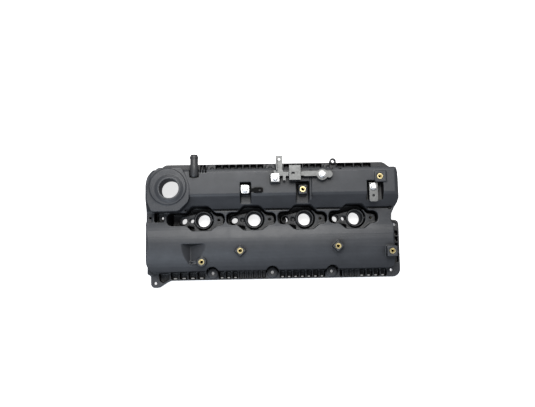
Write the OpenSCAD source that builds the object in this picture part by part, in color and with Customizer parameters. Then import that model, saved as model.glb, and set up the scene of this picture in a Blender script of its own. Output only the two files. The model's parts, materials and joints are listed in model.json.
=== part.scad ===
// Camshaft cover of a four-cylinder engine.
// Millimetres. X runs along the crankshaft, Y to the rear (exhaust side), Z up.
// Origin: middle of the rectangle of the four corner flange bolts, in the sealing plane z = 0.

/* [Layout] */
// Distance between neighbouring coil bores
bore_pitch = 88.5; // [86:0.5:90]
// X of the first coil bore
first_bore_x = -119; // [-120:0.5:-117]
// Distance between neighbouring flange bolts, along X
bolt_pitch_x = 104.5; // [103:0.5:106]
// Distance of each bolt row from the middle line
bolt_row_y = 92.5; // [92:0.5:93]

/* [Shell] */
// Wall thickness of the moulding
wall = 3; // [2.5:0.1:3.2]
// Height of the rear hump's flat top
rear_top = 64; // [62:0.5:66]
// Height of the front hump's crest
front_top = 46; // [45:0.5:47]
// Height of the valley floor between the humps
valley_z = 42; // [40:0.5:43]
// Outer face of the rear wall
rear_wall_y = 85; // [84:0.5:86]
// Outer face of the front wall
front_wall_y = -88; // [-89:0.5:-87]
// Outer face of the left wall
left_wall_x = -217; // [-218:0.5:-216]
// Outer face of the front hump's right wall
right_wall_x = 211; // [210:0.5:212]

/* [Flange] */
// Height of the flange's box rim
flange_h = 12; // [11:0.5:13]
// Thickness of the flange's floor and ribs
rib = 2.4; // [2:0.1:3]
// Radius of the flange bolts' clearance holes
bolt_hole_r = 2.8; // [2.7:0.05:2.9]
// Outer radius of the steel sleeves in the flange
sleeve_r = 5; // [4.8:0.1:5.2]
// Length of the steel sleeves
sleeve_l = 8; // [7:0.5:9]
// Radius of the bosses round the bolts
boss_r = 9.3; // [9:0.1:9.6]
// Width of the gasket
gasket_w = 4; // [3.5:0.1:4.2]
// Depth of the gasket's groove
gasket_h = 5; // [4:0.5:5]

/* [Coil wells] */
// Radius of the coil bores
coil_r = 11.2; // [11:0.1:11.6]
// Radius of the cup at the top of a coil bore
coil_cup_r = 13.2; // [12.8:0.1:13.6]
// Height of the well's floor
well_floor = 14; // [13:0.5:16]
// Height of the collar in the well
collar_z = 28; // [26:0.5:30]
// Height of the coil's pad beside the collar
pad_z = 31; // [30:0.5:33]
// Radius of the cover bolt hole in each well
well_bolt_r = 5.6; // [5.4:0.1:5.8]
// Radius of the drain hole between bolt hole and coil bore
drain_r = 3.8; // [3.5:0.1:4]

/* [Filler] */
// Radius of the oil filler bore
filler_r = 16.3; // [16:0.1:17]
// Outer radius of the filler's neck ring
filler_neck_r = 23; // [22:0.5:24]
// Height of the filler's plateau
plateau_z = 65; // [64.5:0.5:66]

/* [Breather] */
// Outer radius of the hose spigot
spigot_r = 6.6; // [6.3:0.1:6.8]
// Outer radius of the valve housing
housing_r = 7.5; // [7.4:0.1:7.8]
// Radius of the valve's plunger bore
valve_r = 5; // [4.8:0.1:5.2]
// Travel of the valve's plunger
valve_travel = 4; // [3:0.5:4]

/* [Fasteners] */
// Outer radius of the brass inserts
insert_r = 5.2; // [5:0.1:5.4]
// Thread core radius of the brass inserts (M6)
insert_core_r = 2.5; // [2.4:0.05:2.6]
// Length of the brass inserts
insert_l = 9; // [8:0.5:10]
// Radius of the bolts' shanks
shank_r = 3; // [2.8:0.1:3]
// Thickness of the bracket's steel sheet
sheet = 2; // [1.5:0.5:2]

/* [Hidden] */
$fn = 48;
eps = 0.02;
far = 300;

// Colours
plastic = [0.16, 0.16, 0.17];
steel = [0.62, 0.63, 0.65];
zinc = [0.85, 0.85, 0.86];
brass = [0.82, 0.72, 0.42];
rubber = [0.08, 0.08, 0.08];

// Section of the shell: the front hump's back is one arc, the rear hump is flat with a sloping front
crest_y = -38;
front_arc_r = 80;
slope_foot_y = 15.2;
crease_y = 39.3;
end_round = 9;
boss_z = 14;
arch_r = 11.4;
arch_top = [40, 30];

// Places along X
bore_xs = [for (i = [0:3]) first_bore_x + i * bore_pitch];
bolt_xs = [for (i = [-1:1]) i * bolt_pitch_x];

// The well's lobes, from the middle of its coil bore
bolt_lobe_x = -34.3;
drain_x = -20.4;
screw_x = 27;
hole_y = -0.5;

// Corner holes of the flange: front left ear, front right corner, right ear
corner_holes = [[-205.4, -108.1], [210.7, -92.1], [219.5, -11.5]];

// Brass inserts: x, y, top
inserts = [[-121.5, -72.6, 44], [-55, -54.8, 50], [112.2, -49.8, 54], [205, -59.7, 52],
    [185.2, 67.2, 66.5], [53.4, 47.5, 62]];
screw_insert_r = 3.4;
screw_core_r = 2.1;
screw_insert_l = 11;
insert_cover = 2.5;

// Bolts on the rear hump: x, y, z under the head
left_bolt = [6.3, 66.1, 70 + sheet];
right_bolt = [86.4, 70.6, 70 + sheet];
stay_at = [-44.9, 48.6, 60 + sheet];
clip_at = [174, 49.8, 60 + sheet];

// Lug eye behind the rear rim
eye_at = [110.6, 101.4];

// Oil separator plates
front_baffle_z = 22;
rear_baffle_z = 35;
baffle_t = 2;

// Breather
spigot_x = -131.2;
spigot_z = 62;
housing_y = 70.6;
housing_end_y = 92;
spigot_tip_y = 109.2;
port_y = 77;
port_r = 2.6;
seat_y = 80;
plunger_l = 6;
spring_end_y = 96;
tube_r = 3.4;

// Filler
filler_at = [-173.2, 51.4];
pad_at = [-175.6, 54.8];
pad_r = 30.7;
tube_end_z = 37;

// ---------- outline helpers ----------

function unit(v) = v / norm(v);
// Points of the arc of radius r that rounds corner p between its neighbours a and b
function corner(a, p, b, r) =
    let (u = unit(a - p), v = unit(b - p), half = acos(max(-1, min(1, u * v))) / 2,
        d = r / tan(half), c = p + unit(u + v) * r / sin(half), s = p + u * d - c, e = p + v * d - c,
        a0 = atan2(s.y, s.x), turn = atan2(e.y, e.x) - a0,
        sweep = turn > 180 ? turn - 360 : turn < -180 ? turn + 360 : turn,
        n = max(2, ceil(abs(sweep) / 15)))
    [for (i = [0:n]) c + r * [cos(a0 + sweep * i / n), sin(a0 + sweep * i / n)]];
// Polygon with a rounding radius as the third number of each corner
function rounded(p) =
    let (n = len(p), q = [for (c = p) [c[0], c[1]]])
    [for (i = [0:n - 1])
        for (c = p[i][2] > 0 ? corner(q[(i + n - 1) % n], q[i], q[(i + 1) % n], p[i][2]) : [q[i]]) c];
// Height of the front hump's arc at y, lowered by t
function front_z(y, t = 0) = front_top - front_arc_r + sqrt(pow(front_arc_r - t, 2) - pow(y - crest_y, 2));

module block(x, y, z) translate([x[0], y[0], z[0]]) cube([x[1] - x[0], y[1] - y[0], z[1] - z[0]]);
module post(at, r, z0, z1) translate([at[0], at[1], z0]) cylinder(r = r, h = z1 - z0);
module plate(points, z0, z1) translate([0, 0, z0]) linear_extrude(z1 - z0) polygon(points);
module along_x(points, x0, x1)
    translate([x0, 0, 0]) rotate([90, 0, 90]) linear_extrude(x1 - x0) polygon(points);
module along_y(points, y0, y1)
    translate([0, y1, 0]) rotate([90, 0, 0]) linear_extrude(y1 - y0) polygon(points);

// ---------- shell form ----------

// Rise of the front hump's back above the valley: y and height over the valley, valley side
back_rise = [[-33, 3.7], [-28, 2.9], [-23, 1.8], [-18, 0.7], [-13, 0.1]];
// Outer section in Y and Z, or the cavity's section when t is the wall
function section(t) =
    let (y_end = front_wall_y - 4 + t, slope = (rear_top - valley_z) / (crease_y - slope_foot_y),
        shift = t * (sqrt(1 + slope * slope) - 1) / slope, step = 6)
    concat(
        [[y_end, t > 0 ? -1 : 0]],
        [for (y = [y_end:step:crest_y - 1]) [y, front_z(y, t)]],
        [[crest_y, front_top - t]],
        [for (p = back_rise) [p[0], valley_z + p[1] - t]],
        [[slope_foot_y + shift, valley_z - t], [crease_y + shift - 2, rear_top - t - 2]],
        [[crease_y + shift + 2, rear_top - t], [rear_wall_y - t - 6, rear_top - t]],
        [[rear_wall_y - t - 1.8, rear_top - t - 1.8], [rear_wall_y - t, rear_top - t - 6]],
        [[rear_wall_y - t, t > 0 ? -1 : 0]]);
// Ends of the humps in X and Z
function rear_ends(t) = rounded([[left_wall_x - 2 + t, -1, 0], [left_wall_x + 3 + t, rear_top + 3 - t, end_round],
    [218.5 - t, rear_top + 1.5 - t, 15 - t], [221 - t, 12, 0], [221 - t, -1, 0]]);
function front_ends(t) = rounded([[left_wall_x - 2 + t, -1, 0], [left_wall_x + t, front_top + 2 - t, end_round + 2],
    [right_wall_x - t, front_top + 2 - t, end_round], [right_wall_x + 3 - t, -1, 0]]);
// Walls in plan
function wall_plan(t) = rounded([[left_wall_x + 1 + t, front_wall_y - 2 + t, 16 - t],
    [-130, front_wall_y + t, 0], [right_wall_x + 3 - t, front_wall_y + t, 12 - t],
    [right_wall_x + 3 - t, -16, 4], [207 - t, -8, 4], [207 - t, 4, 6], [217 - t, 24, 12], [221 - t, 48, 20],
    [215.5 - t, rear_wall_y + 4 - t, 15 - t], [-198 + t, rear_wall_y + 4 - t, 10 - t], [-211 + t, 72, 14],
    [left_wall_x - 2 + t, 40, 14], [left_wall_x - 1 + t, -60, 20]]);

module form(t) intersection() {
    along_x(section(t), -far, far);
    plate(wall_plan(t), -1, 100);
    union() {
        along_y(rear_ends(t), -4 + eps, far);
        along_y(front_ends(t), -far, -4);
    }
}

// Raised plateau round the oil filler
function plateau_plan(t) = rounded([[-204 + t, 12.8 + t, 6], [-158 - t, 12.8 + t, 12],
    [-140 - t, 30, 14], [-140 - t, 58, 30], [-152 - t, 88 - t, 8], [-192 + t, 88 - t, 8],
    [-203.5 + t, 78, 8], [-210.5 + t, 50, 20], [-212 + t, 32, 14]]);

// Outline of a coil well, grown by t; reach is how far its left lobe goes
function well_plan(t, reach) = rounded([
    [reach - t, -10 - t, 8.5 + t], [reach - t, 12 + t, 9 + t], [-29, 12 + t, 9 - t / 2],
    [-18.5, 23 + t, 9 + t], [10, 23 + t, 9 + t], [22, 11 + t, 9 - t / 2], [38 + t, 11 + t, 9 + t],
    [38 + t, -10.5 - t, 9 + t], [25, -10.5 - t, 9 - t / 2], [14, -19.4 - t, 9 + t], [-19, -19.4 - t, 9 + t],
    [-29, -10 - t, 9 - t / 2]]);
well_reach = [-62, -48, -48, -48];
// The collar's bridge from the coil bore to the bolt hole
bridge_plan = [[-36, -8], [-36, 7], [-5, 14], [-5, -14.9]];
collar_r = 15.8;
lobe_r = 7.6;
groove_w = 2.2;
// Where the coil's pad lies: beside and below the collar
pad_plan = [[6, 10], [13, 15], [20, 26], [50, 26], [50, -26], [-16, -26], [-16, -10.5], [6, -10.5]];

// ---------- flange ----------

flange_plan = rounded([[-219.5, -92, 0], [-213.2, -95, 3], [-213.2, -116, 7.8], [-199, -116, 9], [-180, -104, 20],
    [226.5, -104, 14], [227, -3.5, 7.5], [214, -3.5, 2], [215, 8, 5], [223, 46, 30],
    [217, 92, 14], [203, 102.2, 12], [-189, 102.2, 14], [-207, 86, 8], [-213, 72, 20], [-219.5, 45, 20]]);
lip_plan = rounded([[-202, -77, 8], [197, -77, 8], [197, 74, 8], [-202, 74, 8]]);
function groove_plan(d) = rounded([[-210 + d, -85 + d, 14 - d], [205 - d, -85 + d, 12 - d],
    [205 - d, 82 - d, 12 - d], [-210 + d, 82 - d, 24 - d]]);

// Pocket bays of the rim: first x, last x, number of pockets, floor height
front_bays = [[-178, -118.5, 4, rib], [-94, -60.5, 3, rib], [-58.5, -12, 6, 9], [13.5, 93, 7, rib],
    [119.4, 123, 1, rib], [126, 150, 3, 9], [154.6, 202, 4, rib]];
rear_bays = [[-98, -13, 7, rib], [24.5, 92, 6, rib], [120, 181, 4, rib], [-126, -116.5, 2, 8]];
side_bays = [[-78.5, -62, 1, rib], [-59, -45, 1, rib], [-42, -23, 2, rib]];

module bay_cuts(bays, y0, y1) for (b = bays) {
    pitch = (b[1] - b[0] + rib) / b[2];
    for (i = [0:b[2] - 1])
        block([b[0] + i * pitch, b[0] + (i + 1) * pitch - rib], [y0, y1], [b[3], boss_z + 1]);
}
// See-through slots beside the rim, in the floors of the deep front pockets
module rim_slots() for (b = front_bays) if (b[3] == rib && b[2] > 1) {
    pitch = (b[1] - b[0] + rib) / b[2];
    for (i = [0:b[2] - 1])
        block([b[0] + (i + 0.18) * pitch, b[0] + (i + 0.62) * pitch], [-101.6, -99.4], [-1, rib + 1]);
}

// Arched relief round a flange bolt's boss; side is -1 on the front and 1 on the rear
module arch(x, side) {
    at = [x, side * bolt_row_y];
    post(at, arch_r, boss_z, arch_top[side < 0 ? 0 : 1]);
    difference() {
        post(at, arch_r, gasket_h + 2, boss_z + 1);
        post(at, boss_r, gasket_h + 1, boss_z + 2);
        block([x - 20, x + 20], side < 0 ? [at.y - 20, at.y - 0.5] : [at.y + 0.5, at.y + 20], [0, 20]);
    }
}

module flange_cuts() {
    bay_cuts(front_bays, -102, -89.6);
    bay_cuts(rear_bays, 87, 100);
    rim_slots();
    // Pockets of the right side
    rotate(90) mirror([0, 1, 0]) bay_cuts(side_bays, 215.5, 224);
    // Triangular pocket beside the front left ear
    plate([[-199, -91.5], [-181, -91.5], [-181, -101.3], [-192, -108], [-197.5, -104]], rib, boss_z + 1);
    for (x = bolt_xs, side = [-1, 1]) arch(x, side);
    post(corner_holes[1], 7.5, flange_h, 20);
    for (h = flange_holes()) post(h, sleeve_r, -1, sleeve_l);
    // Gasket groove
    difference() {
        plate(groove_plan(0), -1, gasket_h);
        plate(groove_plan(gasket_w + 1), -2, gasket_h + 1);
    }
}
function flange_holes() = concat([for (x = bolt_xs, s = [-1, 1]) [x, s * bolt_row_y]], corner_holes);

// ---------- notches and posts ----------

// Notches in the rear hump: x range, y range, floor
notches = [[[-53.5, -35], [25, 60.5], 50], [[42, 64], [21, 60.5], 50], [[163, 191], [28, 60.5], 50]];
module notch_walls() for (n = notches)
    block(n[0] + [-wall, wall], n[1] + [-12, wall], [n[2] - wall, rear_top]);
module notch_cuts() for (n = notches) block(n[0], n[1], [n[2], rear_top + 10]);

// Notch with two lugs in the left end, between plateau and front hump
lug_z = 35;
lug_holes = [[-209.3, 4.2], [-188.5, 3.9]];
module lug_notch() {
    block([-230, -206], [-3, 12.6], [valley_z - 1.5, 80]);
    block([-202, -186], [-3, 12.6], [lug_z, 80]);
    block([-202, -195.5], [-3, 12.6], [lug_z - 11, 80]);
}

// Stepped pocket round the first brass insert
module insert_pocket() {
    intersection() {
        along_y([[-157, 60], [-157, 46.4], [-141, 34.5], [-112, 46.5], [-112, 60]], -80, -38);
        along_x([[-80, 33], [-46.5, 33], [-41, 47], [-41, 60], [-80, 60]], -160, -110);
    }
}
module insert_pocket_wall() block([-160, -110], [-82, -37], [31, 60]);

// Posts that carry bolts and inserts, drawn solid
module posts() {
    post(inserts[0], 8, 33, inserts[0][2] - 0.5);
    for (i = [1, 2]) translate([inserts[i][0], inserts[i][1], 36])
        rotate(45) translate([-7, -7, 0]) cube([14, 14, inserts[i][2] - 36 - 0.5]);
    block([196, 213.5], [-69, -51], [26, inserts[3][2] - 0.5]);
    block([177, 196], [57.5, 76], [56, inserts[4][2] - 0.5]);
    block([46, 60.5], [39.5, 55], [47, inserts[5][2] - 0.5]);
    block([-52, -38], [41, 56], [47, stay_at.z - sheet]);
    block([167, 182], [28, 58], [47, clip_at.z - sheet]);
    block([-1.5, 14], [58, 73], [56, left_bolt.z - sheet]);
    post(right_bolt, 8, 56, right_bolt.z - sheet);
    block([77.5, 95], [70, 76], [60, right_bolt.z - sheet]);
    // Bead beside the middle notch
    block([65.5, 67.5], [28, 80], [rear_top - 1, rear_top + 1.2]);
}

// ---------- sub-parts ----------

// Solids inside the cavity: coil tubes, well walls, bolt tubes, filler tube and separator ribs
module inner_solids() {
    for (i = [0:3]) translate([bore_xs[i], 0, 0]) {
        plate(well_plan(wall, well_reach[i]), well_floor - wall, valley_z + 30);
        cylinder(r = coil_r + 5, h = well_floor);
        translate([bolt_lobe_x, hole_y, 0]) cylinder(r = well_bolt_r + 3, h = well_floor);
        translate([drain_x, hole_y, well_floor - 8]) cylinder(r = drain_r + 2, h = 8);
    }
    difference() {
        block([left_wall_x, 220], [front_wall_y, rear_wall_y], [-1, gasket_h + wall]);
        plate(lip_plan, -2, gasket_h + wall + 1);
    }
    notch_walls();
    insert_pocket_wall();
    block([left_wall_x, -183], [-6, 16], [lug_z - wall, 80]);
    block([-205, -192.5], [-6, 15.6], [lug_z - 11 - wall, 80]);
    // Backing of the groove at the slope's foot, and of the slots beside lug eye and spigot
    block([-152, 211], [slope_foot_y - 5, slope_foot_y + 6], [valley_z - 7, valley_z]);
    block([-127, -107], [74, 86], [44, 70]);
    block([98, 123], [77, 86], [40, 70]);
    post(filler_at, filler_r + wall, tube_end_z, 80);
    block([spigot_x - 12, spigot_x + 12], [housing_y - 3, rear_wall_y], [48, 80]);
    block([191, 215], [-72, -48], [front_baffle_z + baffle_t, 60]);
    for (i = [0:5]) post(inserts[i], insert_r + 3, inserts[i][2] - insert_l - 4, inserts[i][2] - 1);
    for (b = [left_bolt, right_bolt]) post(b, shank_r + 4, b.z - 24, b.z - 2);
    // Walls behind the reliefs of the flange bolts
    for (x = bolt_xs) {
        post([x, -bolt_row_y], arch_r + wall, -1, 45);
        post([x, bolt_row_y], arch_r + wall, -1, arch_top[1] + wall);
    }
    post(corner_holes[1], 10.5, -1, 23);
    // Ribs that hold the oil separator plates
    for (x = [-192, -73, 15, 103, 190]) {
        block([x, x + rib], [-84.5, -25], [front_baffle_z + baffle_t, 60]);
        block([x, x + rib], [26, 81.5], [rear_baffle_z + baffle_t, 70]);
    }
}

module well_cuts() for (i = [0:3]) translate([bore_xs[i], 0, 0])
    plate(well_plan(0, well_reach[i]), well_floor, valley_z + 30);

module collars() for (i = [0:3]) translate([bore_xs[i], 0, 0]) {
    cylinder(r = collar_r, h = collar_z);
    plate(bridge_plan, well_floor - eps, collar_z - 2);
    post([bolt_lobe_x, hole_y], lobe_r, well_floor - eps, collar_z - 2);
    // Pad with the screw hole, parted from the collar by a groove
    difference() {
        intersection() {
            translate([0, -1.8, 0]) plate(well_plan(-2.6, well_reach[i]), well_floor - eps, pad_z);
            plate(pad_plan, well_floor - 1, pad_z + 1);
        }
        post([0, 0], collar_r + groove_w, well_floor, pad_z + 1);
    }
    // The first well's left end slopes
    if (i == 0) along_y([[-64, 13], [-54, 13], [-62, valley_z - 0.5], [-64, valley_z - 0.5]], -11, 13);
}

module holes() {
    for (i = [0:3]) translate([bore_xs[i], 0, 0]) {
        translate([0, 0, -1]) cylinder(r = coil_r, h = collar_z + 2);
        translate([0, 0, collar_z - 6]) cylinder(r = coil_cup_r, h = 7);
        translate([0, 0, -1]) cylinder(r = coil_cup_r + 0.8, h = 5);
        translate([bolt_lobe_x, hole_y, -1]) difference() {
            cylinder(r = well_bolt_r, h = collar_z + 2);
            // The third bolt hole is closed but for a crescent
            if (i == 2) translate([-2.4, 0, 9]) cylinder(r = well_bolt_r, h = 3);
        }
        // The outer wells are drained, the inner ones are blind
        translate([drain_x, hole_y, i == 0 || i == 3 ? -1 : collar_z - 5])
            cylinder(r = drain_r, h = collar_z + 2);
        translate([screw_x, hole_y, pad_z - insert_cover - screw_insert_l])
            cylinder(r = screw_insert_r, h = screw_insert_l);
        translate([screw_x, hole_y, pad_z - insert_cover - screw_insert_l])
            cylinder(r = screw_core_r, h = 20);
    }
    for (n = inserts) post(n, insert_r, n[2] - insert_l - 1, n[2] + 1);
    for (h = flange_holes()) post(h, bolt_hole_r, -1, boss_z + 1);
    post(filler_at, filler_r, 0, 80);
    for (h = lug_holes) post(h, 2, 0, valley_z + 1);
    for (b = [left_bolt, right_bolt, stay_at, clip_at]) post(b, shank_r, b.z - 16, b.z + 1);
}

module cover_shell() color(plastic) difference() {
    union() {
        difference() {
            union() {
                form(0);
                plate(flange_plan, 0, flange_h);
                for (x = bolt_xs, side = [-1, 1]) post([x, side * bolt_row_y], boss_r, 0, boss_z);
                plate(plateau_plan(0), flange_h - 1, plateau_z);
            }
            difference() {
                union() {
                    form(wall);
                    plate(plateau_plan(wall), -1, plateau_z - wall);
                }
                inner_solids();
            }
            flange_cuts();
            well_cuts();
            notch_cuts();
            insert_pocket();
            for (x = [101, 115.5]) block([x, x + 4.5], [80.6, 90], [48, 80]);
            for (x = [-122, -117.4, -112.8]) block([x, x + 2.2], [78, 90], [50, 80]);
            lug_notch();
            // Groove along the foot of the slope, with a small sump at its end
            block([-150, 206], [slope_foot_y - 0.2, slope_foot_y + 2.2], [valley_z - 3, valley_z + 8]);
            block([203, 208], [slope_foot_y - 2, slope_foot_y + 3], [valley_z - 4, valley_z + 8]);
            // Bed of the valve housing
            translate([spigot_x, housing_y - 0.3, spigot_z]) rotate([-90, 0, 0]) cylinder(r = housing_r + 0.1, h = 60);
            block([spigot_x - housing_r - 0.1, spigot_x + housing_r + 0.1], [housing_y - 0.3, 130], [spigot_z, 90]);
        }
        collars();
        posts();
        // Filler pad and neck ring
        post(pad_at, pad_r, plateau_z - 1, plateau_z + 1.8);
        translate([filler_at.x, filler_at.y, plateau_z - 1]) cylinder(r = filler_neck_r, h = 4);
        translate([filler_at.x, filler_at.y, plateau_z + 3 - eps]) cylinder(r1 = filler_neck_r - 1.4, r2 = filler_neck_r - 3.4, h = 1.4);
        // Lug eye behind the rear rim
        difference() {
            union() {
                post(eye_at, 5.6, 22, 30);
                block([eye_at.x - 6, eye_at.x + 6], [84, eye_at.y], [22, 27]);
            }
            post(eye_at, 2.9, 20, 40);
        }
    }
    holes();
    post([spigot_x, port_y], port_r, 40, spigot_z);
}

module breather_spigot() color(plastic) difference() {
    translate([spigot_x, 0, spigot_z]) rotate([-90, 0, 0]) union() {
        translate([0, 0, housing_y]) cylinder(r1 = housing_r - 1.5, r2 = housing_r, h = 3);
        translate([0, 0, housing_y + 3]) cylinder(r = housing_r, h = housing_end_y - housing_y - 3);
        translate([0, 0, housing_end_y]) cylinder(r1 = housing_r, r2 = spigot_r, h = 2);
        translate([0, 0, housing_end_y]) cylinder(r = spigot_r, h = spigot_tip_y - housing_end_y - 1);
        translate([0, 0, spigot_tip_y - 6.5]) cylinder(r1 = spigot_r, r2 = spigot_r + 0.9, h = 1);
        translate([0, 0, spigot_tip_y - 5.5]) cylinder(r1 = spigot_r + 0.9, r2 = spigot_r - 1, h = 5.5);
    }
    translate([spigot_x, 0, spigot_z]) rotate([-90, 0, 0]) {
        translate([0, 0, housing_y + 3]) cylinder(r = tube_r, h = spigot_tip_y);
        translate([0, 0, seat_y]) cylinder(r = valve_r, h = spring_end_y - seat_y);
    }
    post([spigot_x, port_y], port_r, 40, spigot_z);
}

// Stepped plunger: a disc that runs in the bore and a stem inside the spring
module pcv_plunger() color(steel) translate([spigot_x, seat_y + 0.05, spigot_z]) rotate([-90, 0, 0]) {
    cylinder(r = valve_r - 0.05, h = plunger_l);
    translate([0, 0, plunger_l]) cylinder(r = 2.2, h = 4);
}

// Coil spring between the plunger's disc and the spigot's step
spring_turns = 5;
spring_mid_r = 4.2;
wire_r = 0.5;
ring_n = 6;
spring_n = spring_turns * 12;
module pcv_spring() color(steel) {
    y0 = seat_y + plunger_l + wire_r + 0.1;
    y1 = spring_end_y - wire_r - 0.05;
    rings = [for (i = [0:spring_n]) let (a = i * 30, y = y0 + (y1 - y0) * i / spring_n)
        for (k = [0:ring_n - 1]) let (b = k * 360 / ring_n, r = spring_mid_r + wire_r * cos(b))
            [spigot_x + r * cos(a), y + wire_r * sin(b), spigot_z + r * sin(a)]];
    sides = [for (i = [0:spring_n - 1], k = [0:ring_n - 1]) let (j = (k + 1) % ring_n)
        [i * ring_n + k, i * ring_n + j, (i + 1) * ring_n + j, (i + 1) * ring_n + k]];
    ends = [[for (k = [ring_n - 1:-1:0]) k], [for (k = [0:ring_n - 1]) spring_n * ring_n + k]];
    polyhedron(rings, concat(sides, ends));
}

// Oil separator plates, welded to the ribs, with drain slots
module baffle(x, y, z, slots_y) difference() {
    block(x, y, [z, z + baffle_t]);
    for (i = [0:5]) let (x0 = x[0] + 30 + 60 * i)
        block([x0, x0 + 18], [slots_y - 2, slots_y + 2], [z - 1, z + baffle_t + 1]);
}
module front_baffle() color(plastic) baffle([-206, 202], [-77.5, -26], front_baffle_z, -66);
module rear_baffle() color(plastic) baffle([-148, 208], [27, 81.5], rear_baffle_z, 66);

module perimeter_gasket() color(rubber) difference() {
    plate(groove_plan(0.5), 0, gasket_h - 0.1);
    plate(groove_plan(gasket_w + 0.5), -1, gasket_h + 1);
}

module plug_seal(i) color(rubber) translate([bore_xs[i], 0, 0]) difference() {
    cylinder(r = coil_cup_r + 0.8, h = 3.9);
    translate([0, 0, -1]) cylinder(r = coil_r + 0.2, h = 6);
}
module plug_seal_1() plug_seal(0);
module plug_seal_2() plug_seal(1);
module plug_seal_3() plug_seal(2);
module plug_seal_4() plug_seal(3);

module brass_insert(i) color(brass) difference() {
    post(inserts[i], insert_r - 0.02, inserts[i][2] - insert_l, inserts[i][2]);
    post(inserts[i], insert_core_r, inserts[i][2] - insert_l - 1, inserts[i][2] + 1);
}
module brass_insert_1() brass_insert(0);
module brass_insert_2() brass_insert(1);
module brass_insert_3() brass_insert(2);
module brass_insert_4() brass_insert(3);
module brass_insert_5() brass_insert(4);
module brass_insert_6() brass_insert(5);

module coil_screw_inserts() color(brass) for (x = bore_xs) translate([x + screw_x, hole_y, 0]) difference() {
    post([0, 0], screw_insert_r - 0.02, pad_z - insert_cover - screw_insert_l, pad_z - insert_cover);
    post([0, 0], screw_core_r, 0, pad_z);
}

module flange_sleeves() color(zinc) for (h = flange_holes()) difference() {
    post(h, sleeve_r - 0.02, 0, sleeve_l);
    post(h, bolt_hole_r, -1, flange_h + 1);
}

// Bolt with a hexagon head on a round or a square washer; seat is the face under the washer
washer_square = rounded([[-7.2, -7.2, 3], [7.2, -7.2, 3], [7.2, 7.2, 3], [-7.2, 7.2, 3]]);
module bolt(seat, length, square = false) color(zinc) translate(seat) {
    translate([0, 0, -length]) cylinder(r = shank_r - 0.05, h = length + 0.5);
    if (square) plate(washer_square, 0, 1.6);
    else cylinder(r = 6.2, h = 1.6);
    translate([0, 0, 1.6 - eps]) cylinder(r = 5.2, h = 4, $fn = 6);
}
module bracket_bolt_left() bolt(left_bolt, 14, true);
module bracket_bolt_right() bolt(right_bolt, 14);
module stay_bolt() bolt(stay_at, 12, true);
module clip_bolt() bolt(clip_at, 12);

// Harness bracket: pad, rear tab, hook, saddle clip, strip and rounded end, bent from one sheet
module harness_bracket() color(steel) {
    z = [left_bolt.z - sheet, left_bolt.z];
    difference() {
        union() {
            block([-1.2, 13.8], [58.5, 72.5], z);
            block([4, 20], [72, 79], z);
            block([8, 19], [78.5, 104], z);
            block([8, 10], [78.5, 98], [z[0], z[1] + 5]);
            block([13, 56], [69, 76], z);
            block([19.5, 24.5], [61.5, 76], z);
            // Saddle clip stands higher than the strip
            block([29.6, 31.6], [61, 86.5], [z[0], z[1] + 5]);
            block([47.6, 49.6], [61, 86.5], [z[0], z[1] + 5]);
            block([29.6, 49.6], [61, 86.5], z + [5, 5]);
            block([55, 86], [68, 77], z);
            post(right_bolt, 9.5, z[0], z[1]);
            block([86, 98], [68, 77], z);
            post([98, 71], 6, z[0], z[1]);
        }
        post(left_bolt, shank_r + 0.3, z[0] - 1, z[1] + 1);
        post(right_bolt, shank_r + 0.3, z[0] - 1, z[1] + 1);
        block([34, 39], [71, 74.5], z + [4, 6]);
        post([13.5, 98], 2.2, z[0] - 1, z[1] + 1);
    }
}

// Small cable stay beside the left notch's bolt
module harness_stay() color(rubber) difference() {
    union() {
        block([-52, -35.6], [41, 56], [stay_at.z - sheet, stay_at.z]);
        block([-37.6, -35.6], [44.5, 49.5], [stay_at.z - sheet, rear_top + 2.3]);
        block([-37.6, -29], [44.5, 49.5], [rear_top + 0.3, rear_top + 2.3]);
        plate(rounded([[-31, 42.6, 3], [-14.5, 42.6, 3], [-14.5, 51, 3], [-31, 51, 3]]), rear_top + 0.3, rear_top + 2.3);
    }
    post(stay_at, shank_r + 0.2, stay_at.z - 3, stay_at.z + 1);
    post([-20.4, 46.8], 2.1, rear_top - 1, rear_top + 4);
}

// Steel tab in the right notch, held by one bolt
module clip_tab() color(steel) difference() {
    plate(rounded([[167, 24, 3.5], [182, 24, 3.5], [182, 57, 0], [167, 57, 0]]), clip_at.z - sheet, clip_at.z);
    post(clip_at, shank_r + 0.2, clip_at.z - 3, clip_at.z + 1);
    post([174.3, 34.6], 2, clip_at.z - 3, clip_at.z + 1);
}

cover_shell();
breather_spigot();
pcv_plunger();
pcv_spring();
front_baffle();
rear_baffle();
perimeter_gasket();
plug_seal_1();
plug_seal_2();
plug_seal_3();
plug_seal_4();
brass_insert_1();
brass_insert_2();
brass_insert_3();
brass_insert_4();
brass_insert_5();
brass_insert_6();
coil_screw_inserts();
flange_sleeves();
harness_bracket();
bracket_bolt_left();
bracket_bolt_right();
stay_bolt();
harness_stay();
clip_bolt();
clip_tab();
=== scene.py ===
"""Looks of a moulded camshaft cover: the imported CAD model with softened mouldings, fasteners and materials."""

import json
import math

import bmesh
import bpy
from mathutils import Matrix, Vector


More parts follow.
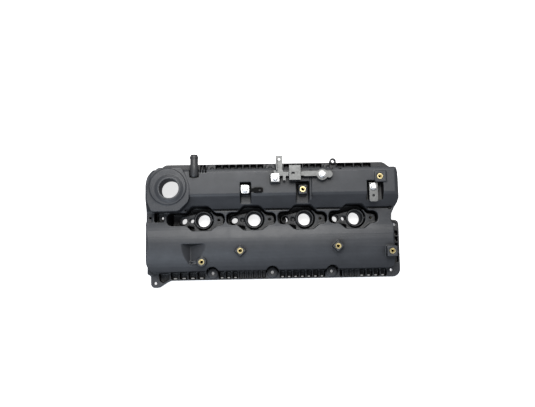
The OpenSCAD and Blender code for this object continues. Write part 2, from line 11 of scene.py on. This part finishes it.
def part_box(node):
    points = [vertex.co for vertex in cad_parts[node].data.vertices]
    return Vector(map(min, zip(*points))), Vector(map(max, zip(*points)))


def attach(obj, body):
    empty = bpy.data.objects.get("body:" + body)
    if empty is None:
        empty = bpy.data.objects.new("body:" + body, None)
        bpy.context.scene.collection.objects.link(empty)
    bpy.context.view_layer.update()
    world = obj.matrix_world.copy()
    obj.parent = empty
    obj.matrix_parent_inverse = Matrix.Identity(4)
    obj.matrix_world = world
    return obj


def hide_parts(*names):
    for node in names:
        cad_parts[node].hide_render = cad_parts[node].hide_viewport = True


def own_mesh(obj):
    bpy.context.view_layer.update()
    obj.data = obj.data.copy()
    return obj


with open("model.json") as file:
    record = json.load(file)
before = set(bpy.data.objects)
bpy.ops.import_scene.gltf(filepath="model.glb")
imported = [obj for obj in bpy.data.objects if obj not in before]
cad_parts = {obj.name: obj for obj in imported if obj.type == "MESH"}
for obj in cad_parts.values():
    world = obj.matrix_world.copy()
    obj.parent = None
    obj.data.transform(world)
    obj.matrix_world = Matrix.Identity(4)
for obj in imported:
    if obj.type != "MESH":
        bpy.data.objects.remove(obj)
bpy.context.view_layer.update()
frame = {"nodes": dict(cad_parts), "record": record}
scene = bpy.context.scene
MM = 0.001
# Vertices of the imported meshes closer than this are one, in m
WELD = 0.00001

# ---------------------------------------------------------------- helpers


def collect(name, mesh):
    """A new object for a mesh, in the scene."""
    piece = bpy.data.objects.new(name, mesh)
    scene.collection.objects.link(piece)
    return piece


def baked(piece):
    """Applies every modifier of a piece."""
    bpy.context.view_layer.update()
    done = bpy.data.meshes.new_from_object(piece.evaluated_get(bpy.context.evaluated_depsgraph_get()))
    piece.modifiers.clear()
    old, piece.data = piece.data, done
    bpy.data.meshes.remove(old)
    return piece


def moulded(node, name, voxel, steps, faces, extras=()):
    """A copy of a CAD node, joined with extra solids, its edges and corners softened as a moulding has them."""
    piece = collect(name, frame["nodes"][node].data.copy())
    shape = bmesh.new()
    shape.from_mesh(piece.data)
    bmesh.ops.remove_doubles(shape, verts=shape.verts, dist=WELD)
    for extra in extras:
        extra(shape)
    shape.to_mesh(piece.data)
    shape.free()
    remesh = piece.modifiers.new("remesh", "REMESH")
    remesh.mode = "VOXEL"
    remesh.voxel_size = voxel
    remesh.use_smooth_shade = True
    smooth = piece.modifiers.new("smooth", "SMOOTH")
    smooth.factor = 0.5
    smooth.iterations = steps
    baked(piece)
    thin = piece.modifiers.new("thin", "DECIMATE")
    thin.ratio = min(1.0, faces / max(1, 2 * len(piece.data.polygons)))
    baked(piece)
    for polygon in piece.data.polygons:
        polygon.use_smooth = True
    print(name, len(piece.data.polygons), "faces")
    return piece


def bar(low, high):
    """Adds a box between two corners in mm to a shape."""
    def add(shape):
        corners = [shape.verts.new([(low, high)[(i >> k) & 1][k] * MM for k in range(3)]) for i in range(8)]
        for ring in ((0, 2, 3, 1), (4, 5, 7, 6), (0, 1, 5, 4), (2, 6, 7, 3), (0, 4, 6, 2), (1, 3, 7, 5)):
            shape.faces.new([corners[i] for i in ring])
    return add


def circle(count=64):
    """Points of a unit circle."""
    return [(math.cos(a), math.sin(a)) for a in (2 * math.pi * i / count for i in range(count))]


def rounded_square(corner, steps=6):
    """Points of a square of half width 1 whose corners have the given radius."""
    points = []
    for turn in range(4):
        for i in range(steps + 1):
            a = math.pi / 2 * (turn + i / steps)
            side = [(1, 1), (-1, 1), (-1, -1), (1, -1)][turn]
            points.append((side[0] * (1 - corner) + corner * math.cos(a),
                           side[1] * (1 - corner) + corner * math.sin(a)))
    return points


def hexagon(steps=2, blunt=0.06):
    """Points of a hexagon of corner radius 1 with slightly blunt corners."""
    corners = [Vector((math.cos(math.pi / 3 * i), math.sin(math.pi / 3 * i))) for i in range(6)]
    points = []
    for i, corner in enumerate(corners):
        before = corner.lerp(corners[i - 1], blunt)
        after = corner.lerp(corners[(i + 1) % 6], blunt)
        points += [tuple(before.lerp(after, t / steps)) for t in range(steps + 1)]
    return points


def stack(shape, outline, levels, place, along="Z", hollow=False):
    """Skins rings of an outline, each (size, height) in mm, over place in m.

    A hollow stack closes on itself.
    """
    turn = Matrix.Rotation(-math.pi / 2, 3, "X") if along == "Y" else Matrix.Identity(3)
    rings = [[shape.verts.new(Vector(place) + turn @ Vector((x * size, y * size, height)) * MM)
              for x, y in outline] for size, height in levels]
    pairs = list(zip(rings, rings[1:])) + ([(rings[-1], rings[0])] if hollow else [])
    faces = []
    for low, high in pairs:
        for i in range(len(outline)):
            j = (i + 1) % len(outline)
            faces.append(shape.faces.new((low[i], low[j], high[j], high[i])))
    if not hollow:
        faces.append(shape.faces.new(rings[0][::-1]))
        faces.append(shape.faces.new(rings[-1]))
    bmesh.ops.recalc_face_normals(shape, faces=faces)


def built(name, *stacks, sharp=32):
    """A piece from stacks, shaded smooth but for its sharp edges."""
    shape = bmesh.new()
    for arguments in stacks:
        stack(shape, *arguments[:3], **(arguments[3] if len(arguments) > 3 else {}))
    mesh = bpy.data.meshes.new(name)
    shape.to_mesh(mesh)
    shape.free()
    mesh.shade_smooth()
    mesh.set_sharp_from_angle(angle=math.radians(sharp))
    return collect(name, mesh)


def bevelled(node, name, width):
    """A copy of a CAD node with its edges broken."""
    piece = collect(name, frame["nodes"][node].data.copy())
    shape = bmesh.new()
    shape.from_mesh(piece.data)
    bmesh.ops.remove_doubles(shape, verts=shape.verts, dist=WELD)
    bmesh.ops.dissolve_limit(shape, angle_limit=math.radians(1), verts=shape.verts, edges=shape.edges)
    shape.to_mesh(piece.data)
    shape.free()
    bevel = piece.modifiers.new("bevel", "BEVEL")
    bevel.width = width
    bevel.segments = 2
    bevel.limit_method = "ANGLE"
    bevel.angle_limit = math.radians(40)
    baked(piece)
    piece.data.shade_smooth()
    piece.data.set_sharp_from_angle(angle=math.radians(32))
    return piece


def coil(name, place, radius, wire, turns, length):
    """A coil spring about Y, from place on, sizes in mm."""
    shape = bmesh.new()
    steps, sides = 36, 12
    rings = []
    for i in range(turns * steps + 1):
        a = 2 * math.pi * i / steps
        y = wire + (length - 2 * wire) * i / (turns * steps)
        rings.append([])
        for k in range(sides):
            b = 2 * math.pi * k / sides
            out = radius + wire * math.cos(b)
            point = Vector((out * math.cos(a), y + wire * math.sin(b), out * math.sin(a)))
            rings[-1].append(shape.verts.new(Vector(place) + point * MM))
    for first, last in zip(rings, rings[1:]):
        for k in range(sides):
            j = (k + 1) % sides
            shape.faces.new((first[k], first[j], last[j], last[k]))
    shape.faces.new(rings[0])
    shape.faces.new(rings[-1])
    bmesh.ops.recalc_face_normals(shape, faces=shape.faces)
    mesh = bpy.data.meshes.new(name)
    shape.to_mesh(mesh)
    shape.free()
    mesh.shade_smooth()
    mesh.set_sharp_from_angle(angle=math.radians(50))
    return collect(name, mesh)


def dress(piece, material, body="cover"):
    """Gives a piece its material and its body."""
    piece.data.materials.clear()
    piece.data.materials.append(material)
    if piece.name not in frame["nodes"]:
        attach(piece, body)
    return piece


# ---------------------------------------------------------------- materials


def shader(name, color, rough, metallic=0.0):
    """A material with a Principled shader, and shortcuts to add and join nodes."""
    material = bpy.data.materials.new(name)
    material.use_nodes = True
    tree = material.node_tree
    principled = tree.nodes["Principled BSDF"]
    principled.inputs["Base Color"].default_value = (*color, 1)
    principled.inputs["Roughness"].default_value = rough
    principled.inputs["Metallic"].default_value = metallic
    return material, tree, principled


def noise(tree, scale, detail=3.0, rough=0.5):
    """Noise in the row frame's own metres."""
    place = tree.nodes.new("ShaderNodeTexCoord")
    texture = tree.nodes.new("ShaderNodeTexNoise")
    texture.inputs["Scale"].default_value = scale
    texture.inputs["Detail"].default_value = detail
    texture.inputs["Roughness"].default_value = rough
    tree.links.new(place.outputs["Object"], texture.inputs["Vector"])
    return texture.outputs["Fac"]


def ramp(tree, value, low, high, first, last):
    """Maps value from low..high to a colour between first and last."""
    node = tree.nodes.new("ShaderNodeValToRGB")
    node.color_ramp.elements[0].position = low
    node.color_ramp.elements[1].position = high
    node.color_ramp.elements[0].color = (*first, 1)
    node.color_ramp.elements[1].color = (*last, 1)
    tree.links.new(value, node.inputs["Fac"])
    return node.outputs["Color"]


def bumped(tree, principled, height, distance, strength=1.0):
    """Adds a bump of the given height texture to the shader."""
    bump = tree.nodes.new("ShaderNodeBump")
    bump.inputs["Distance"].default_value = distance
    bump.inputs["Strength"].default_value = strength
    tree.links.new(height, bump.inputs["Height"])
    tree.links.new(bump.outputs["Normal"], principled.inputs["Normal"])


def grained_plastic(name, color, rough=0.5, grain=0.00006, specular=0.5):
    """Glass-filled nylon: fine spark grain, cloudy gloss, edges rubbed paler, and painted shade that darkens
    recesses by an ambient-occlusion term.
    """
    material, tree, principled = shader(name, color, rough)
    principled.inputs["Specular IOR Level"].default_value = specular
    cloud = noise(tree, 28, 4, 0.6)
    base = ramp(tree, cloud, 0.3, 0.7, [c * 0.88 for c in color], [c * 1.12 for c in color])
    edge = tree.nodes.new("ShaderNodeNewGeometry").outputs["Pointiness"]
    rub = tree.nodes.new("ShaderNodeMapRange")
    rub.inputs["From Min"].default_value = 0.515
    rub.inputs["From Max"].default_value = 0.60
    rub.inputs["To Max"].default_value = 0.45
    tree.links.new(edge, rub.inputs["Value"])
    mix = tree.nodes.new("ShaderNodeMix")
    mix.data_type = "RGBA"
    mix.inputs[7].default_value = (*[min(1, c * 2.2) for c in color], 1)
    tree.links.new(rub.outputs["Result"], mix.inputs[0])
    tree.links.new(base, mix.inputs[6])
    # Painted shade: an ambient-occlusion term fades recesses to nearly black
    shade = tree.nodes.new("ShaderNodeAmbientOcclusion")
    shade.samples = 8
    shade.inputs["Distance"].default_value = 0.03
    power = tree.nodes.new("ShaderNodeMath")
    power.operation = "POWER"
    power.inputs[1].default_value = 2.6
    tree.links.new(shade.outputs["AO"], power.inputs[0])
    painted_recess_shade = tree.nodes.new("ShaderNodeMix")
    painted_recess_shade.data_type = "RGBA"
    painted_recess_shade.inputs[6].default_value = (0.001, 0.001, 0.0012, 1)
    tree.links.new(power.outputs[0], painted_recess_shade.inputs[0])
    tree.links.new(mix.outputs[2], painted_recess_shade.inputs[7])
    tree.links.new(painted_recess_shade.outputs[2], principled.inputs["Base Color"])
    gloss = tree.nodes.new("ShaderNodeMapRange")
    gloss.inputs["To Min"].default_value = rough - 0.07
    gloss.inputs["To Max"].default_value = rough + 0.09
    tree.links.new(noise(tree, 60, 3), gloss.inputs["Value"])
    tree.links.new(gloss.outputs["Result"], principled.inputs["Roughness"])
    bumped(tree, principled, noise(tree, 2600, 2), grain)
    return material


def metal(name, color, rough, streak=900, grain=0.00003):
    """Plated or turned metal with slight colour and gloss variation."""
    material, tree, principled = shader(name, color, rough, 1.0)
    dark, light = [c * 0.82 for c in color], [min(1, c * 1.08) for c in color]
    base = ramp(tree, noise(tree, 140, 4), 0.3, 0.7, dark, light)
    tree.links.new(base, principled.inputs["Base Color"])
    gloss = tree.nodes.new("ShaderNodeMapRange")
    gloss.inputs["To Min"].default_value = rough * 0.75
    gloss.inputs["To Max"].default_value = rough * 1.35
    tree.links.new(noise(tree, 420, 3), gloss.inputs["Value"])
    tree.links.new(gloss.outputs["Result"], principled.inputs["Roughness"])
    bumped(tree, principled, noise(tree, streak, 2), grain)
    return material


def soft_rubber(name):
    """Matt moulded seal rubber with a dusty bloom."""
    color = (0.022, 0.022, 0.023)
    material, tree, principled = shader(name, color, 0.75)
    base = ramp(tree, noise(tree, 90, 4), 0.35, 0.75, color, (0.05, 0.05, 0.05))
    tree.links.new(base, principled.inputs["Base Color"])
    bumped(tree, principled, noise(tree, 1500, 2), 0.00005)
    return material


looks = {
    "shell_plastic": grained_plastic("shell_plastic", (0.043, 0.0455, 0.051), 0.46),
    "spigot_plastic": grained_plastic("spigot_plastic", (0.042, 0.0425, 0.044), 0.42),
    "baffle_plastic": grained_plastic("baffle_plastic", (0.03, 0.03, 0.032), 0.55),
    "stay_plastic": grained_plastic("stay_plastic", (0.004, 0.004, 0.004), 0.7, specular=0.1),
    "valve_plastic": grained_plastic("valve_plastic", (0.6, 0.58, 0.52), 0.4),
    "brass": metal("brass", (0.86, 0.74, 0.42), 0.32),
    "zinc_steel": metal("zinc_steel", (0.95, 0.95, 0.94), 0.42),
    "bracket_steel": metal("bracket_steel", (0.205, 0.208, 0.205), 0.5),
    "spring_steel": metal("spring_steel", (0.55, 0.55, 0.55), 0.3),
    "rubber": soft_rubber("rubber"),
}

# ---------------------------------------------------------------- pieces

slots = {part["node"]: part["material_slot"] for part in frame["record"]["subparts"]}
for node, piece in frame["nodes"].items():
    piece.data.materials.clear()
    piece.data.materials.append(looks[slots[node]])

# The shell, with two low ribs beside the first insert
VOXEL = 0.0009
SHELL_FACES = 190000
ribs = [bar((-141, y, 34), (-131, y + 1.5, 38)) for y in (-72.5, -76.5)]
shell = moulded("cover_shell", "shell_moulding", VOXEL, 2, SHELL_FACES, ribs)
dress(shell, looks["shell_plastic"])
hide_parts("cover_shell")

# Stamped and moulded small parts, with rounded edges
for node, name, voxel, faces in (
    ("harness_bracket", "bracket_stamping", 0.0003, 36000),
    ("clip_tab", "tab_stamping", 0.0003, 12000),
    ("harness_stay", "stay_moulding", 0.0003, 12000),
):
    piece = moulded(node, name, voxel * (1), 3, faces)
    dress(piece, looks[slots[node]])
    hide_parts(node)


def size_of(node):
    """Middle in X and Y in m, and radius, lowest and highest point in mm, of a turned CAD node."""
    low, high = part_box(node)
    middle = ((low[0] + high[0]) / 2, (low[1] + high[1]) / 2, 0)
    return middle, (high[0] - low[0]) / 2 / MM, low[2] / MM, high[2] / MM


def thread(core, crest, start, end, pitch=1.0):
    """Levels of a thread's flanks from start to end, in mm."""
    count = int(abs(end - start) / pitch)
    step = (end - start) / count
    levels = []
    for i in range(count):
        levels += [(core, start + step * (i + 0.15)), (crest, start + step * (i + 0.6))]
    return levels


# Brass inserts: chamfered, with a thread inside and two plain outer bands split by a groove
CORE = 2.5
for i in range(1, 7):
    node = f"brass_insert_{i}"
    middle, outer, low, high = size_of(node)
    levels = [(CORE + 0.5, low), (outer - 0.3, low), (outer, low + 0.4), (outer, low + 3),
              (outer - 0.5, low + 3.4), (outer - 0.5, low + 4.6), (outer, low + 5), (outer, high - 0.35),
              (outer - 0.3, high), (CORE + 0.75, high)]
    levels += thread(CORE + 0.05, CORE + 0.55, high - 0.7, low + 0.5)
    piece = built(f"insert_{i}_turning", (circle(72), levels, middle, {"hollow": True}))
    dress(piece, looks["brass"])
    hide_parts(node)

# Bolts: threaded shank, washer with a rolled edge, hexagon head with a dished and chamfered top
WASHER = 1.6
HEAD_R = 5.2
SHANK_R = 2.95
SQUARE_WASHERS = {"bracket_bolt_left": True, "bracket_bolt_right": False, "stay_bolt": True, "clip_bolt": False}
for node, square in SQUARE_WASHERS.items():
    middle, outer, low, high = size_of(node)
    seat = high - 4 - WASHER + 0.02
    top = seat + WASHER
    shank = [(SHANK_R - 0.7, low)] + thread(SHANK_R, SHANK_R - 0.5, low + 0.6, seat - 2)
    shank += [(SHANK_R, seat - 1), (SHANK_R, seat + 0.2)]
    rim = [(outer - 0.2, seat), (outer, seat + 0.25), (outer, top - 0.45), (outer - 0.25, top - 0.1),
           (outer - 0.6, top), (1, top)]
    head = [(HEAD_R - 0.1, top - 0.1), (HEAD_R, top + 0.2), (HEAD_R, high - 0.7), (HEAD_R - 0.25, high - 0.25),
            (HEAD_R - 0.75, high), (HEAD_R - 1.5, high), (HEAD_R - 1.9, high - 0.35), (0.5, high - 0.5)]
    outline = rounded_square(0.42) if square else circle(64)
    piece = built(node + "_forging", (circle(40), shank, middle), (outline, rim, middle),
                  (hexagon(), head, middle))
    dress(piece, looks["zinc_steel"])
    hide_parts(node)

# Breather spigot: housing, barbed hose end and the valve's bore, turned about Y
low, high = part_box("breather_spigot")
axis = ((low[0] + high[0]) / 2, low[1], (low[2] + high[2]) / 2)
length = (high[1] - low[1]) / MM
HOUSING = (high[0] - low[0]) / 2 / MM
HOSE = HOUSING - 0.9
BORE = 3.4
VALVE = 5.0
levels = [(0.2, 0.02), (HOUSING - 2.4, 0.02), (HOUSING - 1.6, 0.3), (HOUSING - 0.3, 2.6), (HOUSING, 3.2),
          (HOUSING, 19.6), (HOUSING - 0.15, 20.6), (HOUSING - 0.45, 21.4), (HOSE + 0.15, 22.6), (HOSE, 23.4),
          (HOSE, 31.9), (HOSE + 0.75, 32.6), (HOSE + 0.9, 33.1), (HOSE + 0.8, 33.6), (HOSE - 0.5, length - 1),
          (HOSE - 0.9, length - 0.3), (HOSE - 1.3, length), (BORE + 0.5, length), (BORE + 0.1, length - 0.4),
          (BORE + 0.05, 25.5), (VALVE + 0.03, 25.4), (VALVE + 0.03, 9.4), (BORE + 0.05, 9.35),
          (BORE + 0.05, 3.1), (0.2, 3.05)]
piece = built("spigot_moulding", (circle(96), levels, axis, {"along": "Y"}))
dress(piece, looks["spigot_plastic"])
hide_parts("breather_spigot")

# Plug seals: two lips on the bore's side and two beads outside
SEAL_BORE = 11.4
for i in range(1, 5):
    node = f"plug_seal_{i}"
    middle, outer, low, high = size_of(node)
    lip, hollow = SEAL_BORE + 0.02, SEAL_BORE + 0.6
    levels = [(SEAL_BORE + 0.5, low), (outer - 0.4, low), (outer, low + 0.5), (outer, low + 1.1),
              (outer - 0.5, low + 1.6), (outer - 0.5, low + 2.3), (outer, low + 2.8), (outer, high - 0.4),
              (outer - 0.3, high), (SEAL_BORE + 0.4, high), (lip, high - 0.4), (lip, high - 0.9),
              (hollow, high - 1.5), (hollow, low + 1.5), (lip, low + 0.9), (lip, low + 0.5)]
    piece = built(f"seal_{i}_moulding", (circle(96), levels, middle, {"hollow": True}))
    dress(piece, looks["rubber"])
    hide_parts(node)

# Plainer pieces with broken edges
for node, name, width, body in (
    ("front_baffle", "front_baffle_moulding", 0.0004, "cover"),
    ("rear_baffle", "rear_baffle_moulding", 0.0004, "cover"),
    ("perimeter_gasket", "gasket_moulding", 0.0007, "cover"),
    ("flange_sleeves", "sleeve_turnings", 0.0003, "cover"),
    ("coil_screw_inserts", "screw_insert_turnings", 0.00025, "cover"),
    ("pcv_plunger", "plunger_moulding", 0.0004, "plunger"),
):
    piece = bevelled(node, name, width)
    dress(piece, looks[slots[node]], body)
    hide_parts(node)

# The valve's spring as a fixed coil; in the valve it shortens as the plunger moves towards the spigot's tip
low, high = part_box("pcv_spring")
WIRE = 0.5
TURNS = 5
length = (high[1] - low[1]) / MM
place = ((low[0] + high[0]) / 2, low[1], (low[2] + high[2]) / 2)
piece = coil("spring_coil", place, (high[0] - low[0]) / 2 / MM - WIRE, WIRE, TURNS, length)
dress(piece, looks["spring_steel"])
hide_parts("pcv_spring")
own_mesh(piece)

# ---------------------------------------------------------------- stage, lights and camera

FLOOR_SIZE = 6.0
# The paper's own light: what the camera sees, and what falls on the object
GLOW_SEEN = 0.75
GLOW_AROUND = 0.05
floor_mesh = bpy.data.meshes.new("floor")
half = FLOOR_SIZE / 2
floor_corners = [(-half, -half, 0), (half, -half, 0), (half, half, 0), (-half, half, 0)]
floor_mesh.from_pydata(floor_corners, [], [(0, 1, 2, 3)])
floor = collect("floor", floor_mesh)
floor.location.z = -0.0008
paper, paper_tree, paper_shader = shader("paper", (0.95, 0.95, 0.95), 0.9)
paper_shader.inputs["Emission Color"].default_value = (1, 1, 1, 1)
seen = paper_tree.nodes.new("ShaderNodeLightPath")
glow = paper_tree.nodes.new("ShaderNodeMapRange")
glow.inputs["To Min"].default_value = GLOW_AROUND
glow.inputs["To Max"].default_value = GLOW_SEEN
paper_tree.links.new(seen.outputs["Is Camera Ray"], glow.inputs["Value"])
paper_tree.links.new(glow.outputs["Result"], paper_shader.inputs["Emission Strength"])
floor.data.materials.append(paper)
floor.visible_glossy = False
floor.visible_diffuse = False

# Painted shadow: a grey glowing card under the bolt rows stands in for the shaded floor beneath the flange, seen
# through their holes and slots
PAINTED_SHADOW_GLOW = 0.28
painted_shadow_mesh = bpy.data.meshes.new("painted_shadow_card")
corners = []
for x0, x1, y0, y1 in ((-190, 204, -102, -86), (-180, 200, 86, 99)):
    corners += [(x0 * MM, y0 * MM, 0), (x1 * MM, y0 * MM, 0), (x1 * MM, y1 * MM, 0), (x0 * MM, y1 * MM, 0)]
painted_shadow_mesh.from_pydata(corners, [], [(0, 1, 2, 3), (4, 5, 6, 7)])
painted_shadow_card = collect("painted_shadow_card", painted_shadow_mesh)
painted_shadow_card.location.z = -0.0006
painted_shadow_paper, _, painted_shadow_shader = shader("painted_shadow_card", (0.2, 0.2, 0.2), 0.9)
painted_shadow_shader.inputs["Emission Color"].default_value = (1, 1, 1, 1)
painted_shadow_shader.inputs["Emission Strength"].default_value = PAINTED_SHADOW_GLOW
painted_shadow_card.data.materials.append(painted_shadow_paper)
painted_shadow_card.visible_glossy = False
painted_shadow_card.visible_diffuse = False


def softbox(name, place, aim, size, power, color=(1, 1, 1)):
    """A square area light at place that faces aim."""
    data = bpy.data.lights.new(name, "AREA")
    data.shape = "SQUARE"
    data.size = size
    data.energy = power
    data.color = color
    light = bpy.data.objects.new(name, data)
    light.location = place
    light.rotation_euler = (Vector(aim) - Vector(place)).to_track_quat("-Z", "Y").to_euler()
    scene.collection.objects.link(light)


softbox("key", (-0.05, 0.9, 1.5), (0, 0, 0), 1.0, 31, (1, 0.99, 0.97))
softbox("fill", (-0.5, -0.9, 1.2), (0, 0, 0), 0.8, 9, (0.78, 0.88, 1))

world = bpy.data.worlds.new("studio")
world.use_nodes = True
world.node_tree.nodes["Background"].inputs["Color"].default_value = (0.9, 0.92, 1.0, 1)
world.node_tree.nodes["Background"].inputs["Strength"].default_value = 0.24
scene.world = world
scene.view_settings.view_transform = "Standard"

CAMERA_PLACE = Vector((-0.02525, -0.088, 1.0))
CAMERA_RIGHT = Vector((0.99967, -0.01906, 0.01693))
CAMERA_UP = Vector((0.01692, 0.99281, 0.11853))
camera_data = bpy.data.cameras.new("camera")
camera_data.sensor_width = 36
camera_data.lens = 37.48
camera = bpy.data.objects.new("camera", camera_data)
axes = Matrix((CAMERA_RIGHT, CAMERA_UP, CAMERA_RIGHT.cross(CAMERA_UP))).transposed()
camera.matrix_world = Matrix.Translation(CAMERA_PLACE) @ axes.to_4x4()
scene.collection.objects.link(camera)
scene.camera = camera
